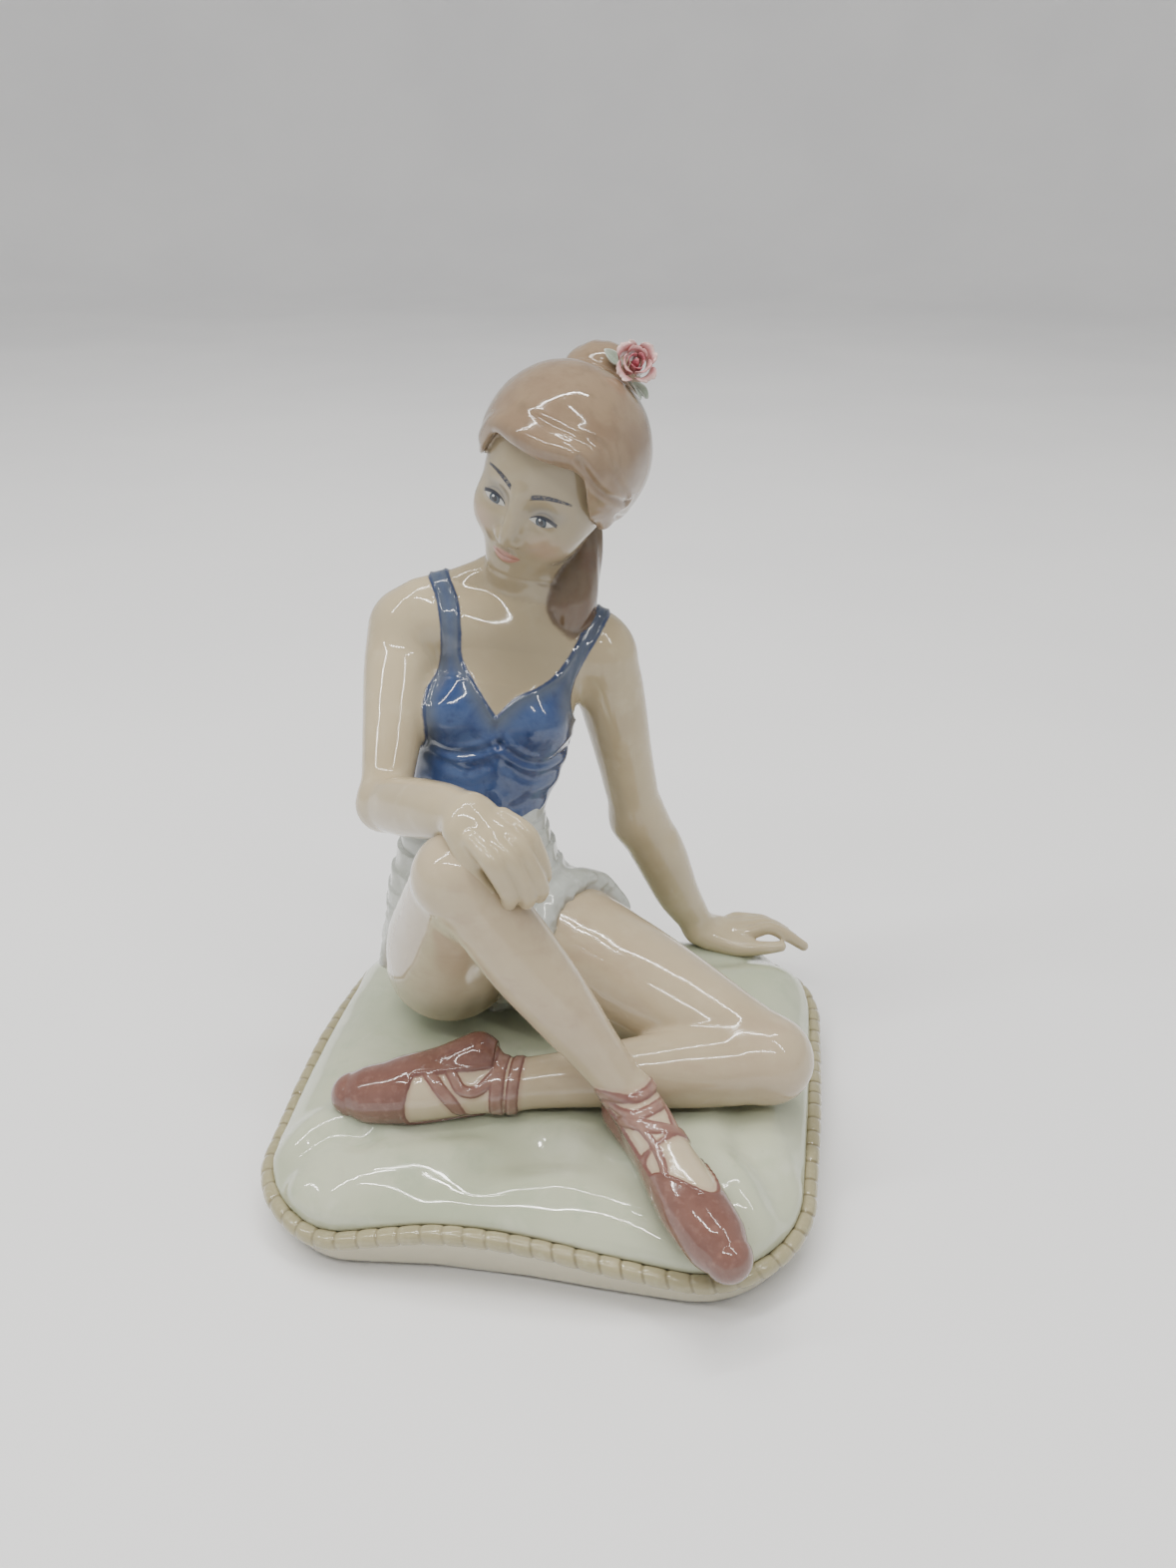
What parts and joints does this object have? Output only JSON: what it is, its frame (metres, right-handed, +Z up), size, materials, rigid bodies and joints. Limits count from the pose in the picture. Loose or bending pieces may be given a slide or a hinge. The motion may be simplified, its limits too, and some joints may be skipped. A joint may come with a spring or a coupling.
{
  "type": "porcelain figurine",
  "caption": "Glazed porcelain figurine of a seated dancer on a square cushion with a corded edge, a rose at the hair bun.",
  "frame": {"origin": "on the underside plane of the cushion, under the middle of the whole figurine's plan outline", "axes": "+Z up from the underside to the rose; the cushion's front edge faces -Y; +X is towards the figure's left knee"},
  "size_m": [0.137, 0.1371, 0.194],
  "materials": {
    "celadon": "pale grey-green celadon glaze, high gloss",
    "cream": "cream glaze, high gloss",
    "blue": "cobalt blue underglaze, high gloss",
    "pale_blue": "bluish white glaze, high gloss",
    "skin": "warm beige-grey glaze, high gloss",
    "brown": "taupe brown glaze, high gloss",
    "dark_brown": "dark brown glaze, high gloss",
    "rose_pink": "deep pink, satin",
    "petal_pink": "pale pink, satin",
    "leaf_green": "grey-green with white tips, satin"
  },
  "bodies": {
    "root": {"cushion": "celadon", "cord_trim": "cream", "torso": "blue", "skirt": "pale_blue", "head": "skin", "hair_bun": "brown", "hair_lock": "dark_brown", "right_arm": "skin", "left_arm": "skin", "right_leg": "skin", "left_leg": "skin", "rose_core": "rose_pink", "rose_petal_01": "petal_pink", "rose_petal_02": "petal_pink", "rose_petal_03": "petal_pink", "rose_petal_04": "petal_pink", "rose_petal_05": "petal_pink", "rose_petal_06": "petal_pink", "rose_petal_07": "petal_pink", "rose_petal_08": "petal_pink", "rose_petal_09": "petal_pink", "rose_petal_10": "petal_pink", "rose_leaf_1": "leaf_green", "rose_leaf_2": "leaf_green", "rose_leaf_3": "leaf_green"}
  },
  "joints": []
}
